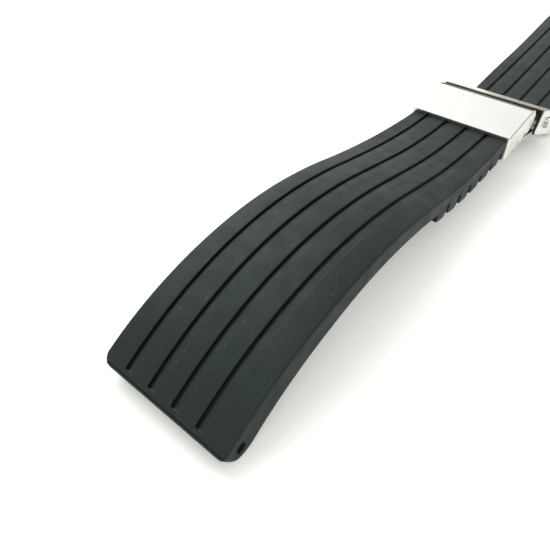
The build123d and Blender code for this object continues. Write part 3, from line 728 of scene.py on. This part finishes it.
    def groove_section(self) -> tuple[np.ndarray, np.ndarray, np.ndarray]:
        """Lateral places across the grooved middle, from right to left, with depth and hollow."""
        rows = []
        for index in range(GROOVES):
            middle = (index - (GROOVES - 1) / 2) * self.groove_pitch - self.groove_shift
            rows.append(GROOVE_PROFILE + [middle, 0, 0])
        rows.append(np.array([[y, 0, 0] for y in RIB_PLACES]))
        table = np.concatenate(rows)
        table = table[np.argsort(table[:, 0])]
        apart = np.concatenate([[True], np.diff(table[:, 0]) > SAME_PLACE])
        table = table[apart][::-1]
        return -table[:, 0], table[:, 1], table[:, 2]

    def sag(self, s: np.ndarray, across: np.ndarray, share: np.ndarray) -> np.ndarray:
        """Extra depth of the arched top.

        Formula: out(s) x start(s) x dome x |y / half|^2.6 x (1 - depth share), where out and start
        are smoothsteps that fall to nothing at the lug end and at the sleeve.

        Args:
            s: distances from the bar.
            across: lateral places over the half width.
            share: depths over the thickness.

        Returns:
            The depth to add, in millimetres.
        """
        away = smoothstep((self.length - s) / ARCH_RUN)
        start = smoothstep((s - ARCH_START) / ARCH_RUN)
        bow = self.dome * np.abs(across) ** ARCH_POWER
        return away * start * bow * np.clip(1 - share, 0, 1)

    def top_rows(self, to_lug: np.ndarray, full: np.ndarray, half: np.ndarray,
                 top_in: np.ndarray, crease: np.ndarray) -> tuple:
        """Places, depths and shares of painted shade across the top, from right to left.

        Args:
            to_lug: distance of each section from the lug end.
            full: half width without the corners' rounds.
            half: half width with them.
            top_in: how far the ends' rounds draw the top in.
            crease: share of the crease behind the end bead.

        Returns:
            Three S x N arrays.
        """
        inner_y, inner_d, inner_h = self.groove_section()
        fade = smoothstep((to_lug - self.groove_end) / GROOVE_FADE)[:, None]
        left_gap = (full - self.edge)[:, None] - inner_y[-1]
        left = inner_y[-1] + left_gap * OUTER_SHARES[None, :]
        right_gap = (full - self.edge)[:, None] + inner_y[0]
        right = inner_y[0] - right_gap * OUTER_SHARES[None, ::-1]
        middle = np.broadcast_to(inner_y, (len(full), len(inner_y)))
        squeeze = (half - self.edge) / (full - self.edge)
        places = np.concatenate([right, middle, left], 1) * squeeze[:, None]
        flat = np.zeros((len(full), len(OUTER_SHARES)))
        depths = np.concatenate([flat, inner_d[None, :] * fade, flat], 1) + top_in[:, None]
        hollow = np.concatenate([flat, inner_h[None, :] * fade, flat], 1)
        return places, depths, np.maximum(hollow, CREASE_SHADE * crease[:, None])

    def flank_rows(self, half: np.ndarray, top_in: np.ndarray,
                   low: np.ndarray) -> tuple[np.ndarray, np.ndarray]:
        """Places and depths down the left side: rounded top edge, flat side, rounded lower edge.

        Args:
            half: half width of each section.
            top_in: depth of its top.
            low: depth of its underside.

        Returns:
            Two S x N arrays.
        """
        turn = np.linspace(0, pi / 2, TOP_EDGE_STEPS)[1:]
        edge_y = half[:, None] - self.edge * (1 - np.sin(turn))[None, :]
        edge_d = top_in[:, None] + self.edge * (1 - np.cos(turn))[None, :]
        side_start = top_in + self.edge
        side_end = low - self.under_edge
        side_y = np.broadcast_to(half[:, None], (len(half), len(SIDE_SHARES)))
        side_d = side_start[:, None] + (side_end - side_start)[:, None] * SIDE_SHARES
        low_turn = np.linspace(0, pi / 2, LOW_EDGE_STEPS)
        low_y = half[:, None] - self.under_edge * (1 - np.cos(low_turn))[None, :]
        low_d = low[:, None] - self.under_edge * (1 - np.sin(low_turn))[None, :]
        places = np.concatenate([edge_y, side_y, low_y], 1)
        return places, np.concatenate([edge_d, side_d, low_d], 1)

    def laid(self, s: np.ndarray, full: np.ndarray, ys: np.ndarray, ds: np.ndarray) -> np.ndarray:
        """Set the sections' points on the top line, in the row frame.

        Formula: top(s) + d x down(s) - skew x end(s) x y along the line, turned to the row frame
        and raised by hold(s) x twist x y / half width.

        Args:
            s: distance of each section.
            full: its half width.
            ys: lateral places.
            ds: depths.

        Returns:
            The S x M x 3 points.
        """
        x, z, heading = self.top_line(s)
        out = -self.skew * smoothstep((s - self.length + SKEW_REACH) / SKEW_RUN)[:, None] * ys
        px = x[:, None] + ds * np.sin(heading)[:, None] + out * np.cos(heading)[:, None]
        pz = z[:, None] - ds * np.cos(heading)[:, None] + out * np.sin(heading)[:, None]
        points = self.to_row(px, ys, pz)
        grown = smoothstep((s - TWIST_START) / TWIST_RUN)
        hold = grown * smoothstep((self.length - s) / TWIST_FADE)
        points[..., 2] += (hold * self.twist / full)[:, None] * ys
        return points

    def grid(self) -> tuple[np.ndarray, np.ndarray]:
        """Points of all cross sections.

        Formula: a section at s is a closed loop of lateral place y and depth d under the top line:
        the grooved top, quarter-round top edges, flat sides, quarter-round lower edges and the
        flat underside. The rounds of both ends draw it in.

        Returns:
            The S x M x 3 points and the S x M hollow shares, which paint shade.
        """
        s = self.stations()
        to_lug = self.length - s
        stub_in = round_inset(self.under_edge, self.under_edge, s + self.stub)
        crease = np.clip(1 - np.abs(to_lug - self.nose[0] - CREASE_HALF) / CREASE_HALF, 0, 1)
        top_in = round_inset(*self.nose, to_lug) + stub_in + CREASE_DEPTH * crease
        low_in = round_inset(*self.foot, to_lug) + stub_in
        right_in, left_in = (round_inset(radius, radius, to_lug) + stub_in
                             for radius in self.corners)
        full = (self.cut_width + (self.lug_width - self.cut_width) * s / self.length) / 2
        half = full - (right_in + left_in) / 2
        thick = self.total_thickness(s)
        low = thick - low_in
        top_y, top_d, top_h = self.top_rows(to_lug, full, half, top_in, crease)
        flank_y, flank_d = self.flank_rows(half, top_in, low)
        base_y = (half - self.under_edge)[:, None] * np.linspace(1, -1, BASE_STEPS)[1:-1]
        base_d = np.broadcast_to(low[:, None], base_y.shape)
        # painted shade: the underside is coloured darker in the valleys between the ridges, by how
        # deep each is hollowed
        deep = np.clip((self.body + self.swelling(s) - low) / self.valley, 0, 1)
        valley_shade = np.broadcast_to(deep[:, None], base_y.shape)
        ys = np.concatenate([top_y, flank_y, base_y, -flank_y[:, ::-1]], 1)
        ds = np.concatenate([top_d, flank_d, base_d, flank_d[:, ::-1]], 1)
        plain = np.zeros_like(flank_y)
        hollow = np.concatenate([top_h, plain, valley_shade, plain], 1)
        ys = ys + ((right_in - left_in) / 2)[:, None]
        ds = ds + self.sag(s[:, None], ys / full[:, None], ds / thick[:, None])
        return self.laid(s, full, ys, ds), hollow

    def cut_bores(self, made: bpy.types.Object) -> None:
        """Cut the bores of the watch's bar and of the clasp's bar."""
        back, under, radius = self.lug_bore
        lug = self.below(self.length - back, under)
        centres = self.to_row(np.array([lug[0], 0.0]), np.zeros(2), np.array([lug[1], 0.0]))
        cutter = rod_mesh(f"{self.name}_bore_tool", [(x, z) for x, _, z in centres],
                          [radius, self.bar_bore], BORE_TOOL_HALF)
        cut = made.modifiers.new("bores", "BOOLEAN")
        cut.object, cut.operation, cut.solver = cutter, "DIFFERENCE", "EXACT"
        graph = bpy.context.evaluated_depsgraph_get()
        finished = bpy.data.meshes.new_from_object(made.evaluated_get(graph))
        made.modifiers.clear()
        made.data = finished
        finished.set_sharp_from_angle(angle=radians(SHARP_DEGREES))
        bpy.data.objects.remove(cutter)

    def build(self, rubber: bpy.types.Material) -> None:
        """Mesh the half, cut its bores, dress it and hang it on its body."""
        points, hollow = self.grid()
        rows, loop = points.shape[:2]
        number = np.arange(rows * loop).reshape(rows, loop)
        after = np.roll(number, -1, axis=1)
        quads = np.stack([number[:-1], after[:-1], after[1:], number[1:]], -1).reshape(-1, 4)
        faces = quads.tolist() + [number[0][::-1].tolist(), number[-1].tolist()]
        made = mesh_object(f"{self.name}_moulding", points.reshape(-1, 3), faces,
                           hollow.reshape(-1))
        self.cut_bores(made)
        made.data.materials.clear()
        made.data.materials.append(rubber)
        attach(made, "near_half" if self.way is Outward.NEAR else "far_half")
        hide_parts(self.name)
        log.info("%s: %d faces", made.name, len(made.data.polygons))


# ---------- clasp ----------

LENGTHWISE = (60.0, 5200.0, 900.0)  # stretch of brushed lines along the strap
CROSSWISE = (900.0, 120.0, 900.0)  # and across it
# painted shadow of the gap between the sleeve and the cover
HOOD_SHADOW = Band(-8.6, -8.3, 10.2, (0.03, 0.03, 0.028))
# painted reflection: a dark gold glint along the cover's polished rim
CASE_PAINTED_REFLECTION = Band(-0.6, -1.6, 11.1, (0.50, 0.47, 0.36))
CASE_SHADOW = Band(-2.7, -2.85, 11.1, (0.05, 0.05, 0.045))


@dataclass
class FoldingClasp:
    """Dresses the steel pieces of the folding clasp."""

    finishes: dict[str, tuple[str, ...]] = field(default_factory=lambda: {
        "hood": ("end_sleeve",),
        "case": ("clasp_cover",),
        "blade": ("lower_blade", "middle_blade", "latch_carrier"),
        "polished": ("push_button_left", "push_button_right"),
        "pin": ("sleeve_pin", "blade_hinge_pin", "cover_hinge_pin", "near_bar_tube",
                "far_bar_tube", "near_tip_left", "near_tip_right", "far_tip_left",
                "far_tip_right"),
        "spring": ("button_spring_left", "button_spring_right", "near_bar_spring",
                   "far_bar_spring"),
    })

    def materials(self) -> dict[str, bpy.types.Material]:
        """One material per finish."""
        return {
            "hood": BrushedSteel("hood_brushed", LENGTHWISE, bands=(HOOD_SHADOW,)).material(),
            "case": BrushedSteel("case_brushed", LENGTHWISE,
                                 bands=(CASE_PAINTED_REFLECTION, CASE_SHADOW)).material(),
            "blade": BrushedSteel("blade_satin", CROSSWISE, (0.66, 0.66, 0.64),
                                  (0.52, 0.52, 0.50), (0.3, 0.45), 0.15).material(),
            "polished": PolishedSteel("button_polished", soil=0.08).material(),
            "pin": PolishedSteel("pin_turned", (0.62, 0.61, 0.58), (0.22, 0.21, 0.19),
                                 (0.2, 0.34), 0.5).material(),
            "spring": PolishedSteel("spring_drawn", (0.5, 0.5, 0.48), (0.2, 0.2, 0.18),
                                    (0.25, 0.4), 0.4).material(),
        }

    def build(self, nodes: dict[str, bpy.types.Object]) -> None:
        """Give each steel node its finish."""
        made = self.materials()
        for finish, names in self.finishes.items():
            for name in names:
                piece = nodes[name]
                piece.data.materials.clear()
                piece.data.materials.append(made[finish])
                log.info("%s dressed as %s", name, finish)


# ---------- studio ----------


@dataclass(frozen=True)
class Lamp:
    """A square area lamp that looks at a point; metres and watts."""

    name: str
    place: Triple
    size: float
    power: float
    colour: Triple
    aim: Triple = (-0.03, 0.0, 0.0)

    def build(self) -> None:
        """Add the lamp."""
        lamp = bpy.data.lights.new(self.name, "AREA")
        lamp.shape, lamp.size = "SQUARE", self.size
        lamp.energy, lamp.color = self.power, self.colour
        made = bpy.data.objects.new(self.name, lamp)
        bpy.context.scene.collection.objects.link(made)
        made.location = self.place
        way = Vector(self.aim) - Vector(self.place)
        made.rotation_euler = way.to_track_quat("-Z", "Y").to_euler()


@dataclass
class Studio:
    """Pale seamless floor, soft light and the camera of the photograph."""

    camera_mm: Triple = (-124.225, -34.439, 60.56)
    right: Triple = (0.62801, -0.77747, 0.03397)
    up: Triple = (0.50235, 0.43834, 0.74532)
    lens_mm: float = 36.0  # both the lens and the sensor
    clip: tuple[float, float] = (0.001, 20.0)
    floor_half: float = 3.0
    floor_z: float = -0.0003
    floor_tone: Triple = (0.83, 0.83, 0.80)
    floor_lift: float = 0.19
    lift_tone: Triple = (0.97, 1.0, 0.93)
    lamps: tuple[Lamp, ...] = (
        Lamp("key_soft", (0.03, 0.3, 0.5), 0.5, 2.2, (1.0, 0.99, 0.96)),
        Lamp("fill_soft", (-0.45, -0.3, 0.5), 0.6, 0.9, (0.96, 0.98, 1.0)),
    )
    tent_slope: tuple[float, float] = (0.5, 0.85)  # of the world's direction, along x and y
    tent_range: tuple[float, float] = (0.05, 0.85)
    tent_light: tuple[float, float] = (0.52, 1.32)
    plain_light: float = 0.95

    def camera(self) -> None:
        """Set the camera at the photograph's place."""
        lens = bpy.data.cameras.new("photo_camera")
        lens.lens, lens.sensor_width, lens.sensor_fit = self.lens_mm, self.lens_mm, "HORIZONTAL"
        lens.clip_start, lens.clip_end = self.clip
        made = bpy.data.objects.new("photo_camera", lens)
        bpy.context.scene.collection.objects.link(made)
        right, up = Vector(self.right).normalized(), Vector(self.up)
        back = right.cross(up).normalized()
        up = back.cross(right)
        place = Vector(self.camera_mm) * MM
        made.matrix_world = Matrix((
            (right.x, up.x, back.x, place.x),
            (right.y, up.y, back.y, place.y),
            (right.z, up.z, back.z, place.z),
            (0, 0, 0, 1),
        ))
        bpy.context.scene.camera = made

    def floor(self) -> None:
        """Pale floor that turns white for the camera away from the shadow."""
        size, z = self.floor_half, self.floor_z
        mesh = bpy.data.meshes.new("studio_floor")
        corners = [(-size, -size, z), (size, -size, z), (size, size, z), (-size, size, z)]
        mesh.from_pydata(corners, [], [(0, 1, 2, 3)])
        made = bpy.data.objects.new("studio_floor", mesh)
        bpy.context.scene.collection.objects.link(made)
        material, tree, shader = new_material("floor_card")
        shader.inputs["Base Color"].default_value = (*self.floor_tone, 1)
        shader.inputs["Roughness"].default_value = 0.9
        shader.inputs["Specular IOR Level"].default_value = 0.1
        seen = node(tree, "ShaderNodeLightPath").outputs["Is Camera Ray"]
        shader.inputs["Emission Color"].default_value = (*self.lift_tone, 1)
        lift = math_node(tree, "MULTIPLY", seen, self.floor_lift)
        tree.links.new(lift, shader.inputs["Emission Strength"])
        mesh.materials.append(material)

    def world(self) -> None:
        """Set the world: white to the camera, a bright slope to gloss, and plain to the rest.

        Formula: strength = camera or transmission ray + gloss ray x tent + other ray x plain,
        where the tent is a smoothstep of the slope times the direction.
        """
        world = bpy.data.worlds.new("studio_world")
        bpy.context.scene.world = world
        world.use_nodes = True
        tree = world.node_tree
        back = tree.nodes["Background"]
        ray = node(tree, "ShaderNodeLightPath").outputs
        seen = math_node(tree, "MAXIMUM", ray["Is Camera Ray"], ray["Is Glossy Ray"])
        seen = math_node(tree, "MAXIMUM", seen, ray["Is Transmission Ray"])
        parts = node(tree, "ShaderNodeSeparateXYZ")
        tree.links.new(node(tree, "ShaderNodeTexCoord").outputs["Generated"], parts.inputs[0])
        slope_x, slope_y = self.tent_slope
        along = math_node(tree, "MULTIPLY", parts.outputs["X"], slope_x)
        slant = math_node(tree, "MULTIPLY_ADD", parts.outputs["Y"], slope_y, along)
        tent = ramp(tree, slant, *self.tent_range, *self.tent_light)
        others = math_node(tree, "SUBTRACT", 1.0, seen)
        glossy = math_node(tree, "MULTIPLY", ray["Is Glossy Ray"], tent)
        direct = math_node(tree, "SUBTRACT", seen, ray["Is Glossy Ray"])
        shown = math_node(tree, "ADD", glossy, direct)
        total = math_node(tree, "MULTIPLY_ADD", others, self.plain_light, shown)
        tree.links.new(total, back.inputs["Strength"])
        back.inputs["Color"].default_value = (1, 1, 1, 1)

    def build(self) -> None:
        """Set the stage."""
        self.floor()
        for lamp in self.lamps:
            lamp.build()
        self.world()
        self.camera()
        bpy.context.scene.view_settings.view_transform = "Standard"
        log.info("studio set")


# ---------- the strap ----------

NEAR_CURVE = ((9.0, 0), (20.0, 9.8), (11.0, 0.4), (10.0, -6.2), (10.0, -8.4), (20.0, -20.9),
              (7.5, -8.4), (3.26, 0))
FAR_CURVE = ((26.0, 2.0), (24.0, 0), (20.0, -20.0), (16.0, -16.0), (4.0, 0))


def joint_place(name: str) -> tuple[float, float]:
    """Side-view place of a joint in the record, in millimetres."""
    found = next(joint for joint in frame["joints"] if joint["name"] == name)
    return found["pos_m"][0] / MM, found["pos_m"][2] / MM


def main() -> None:
    """Build the strap halves, dress the clasp and set the studio."""
    logging.basicConfig(level=logging.INFO, format="%(name)s: %(message)s")
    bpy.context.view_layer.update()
    rubber = StrapRubber().material()
    near = StrapHalf("near_strap", Outward.NEAR, joint_place("near_swing"), NEAR_CURVE,
                     twist=0.42, skew=0.03, extra=0.81)
    far = StrapHalf("far_strap", Outward.FAR, joint_place("far_swing"), FAR_CURVE)
    for half in (near, far):
        half.build(rubber)
    FoldingClasp().build(frame["nodes"])
    Studio().build()


if __name__ == "__main__":
    main()
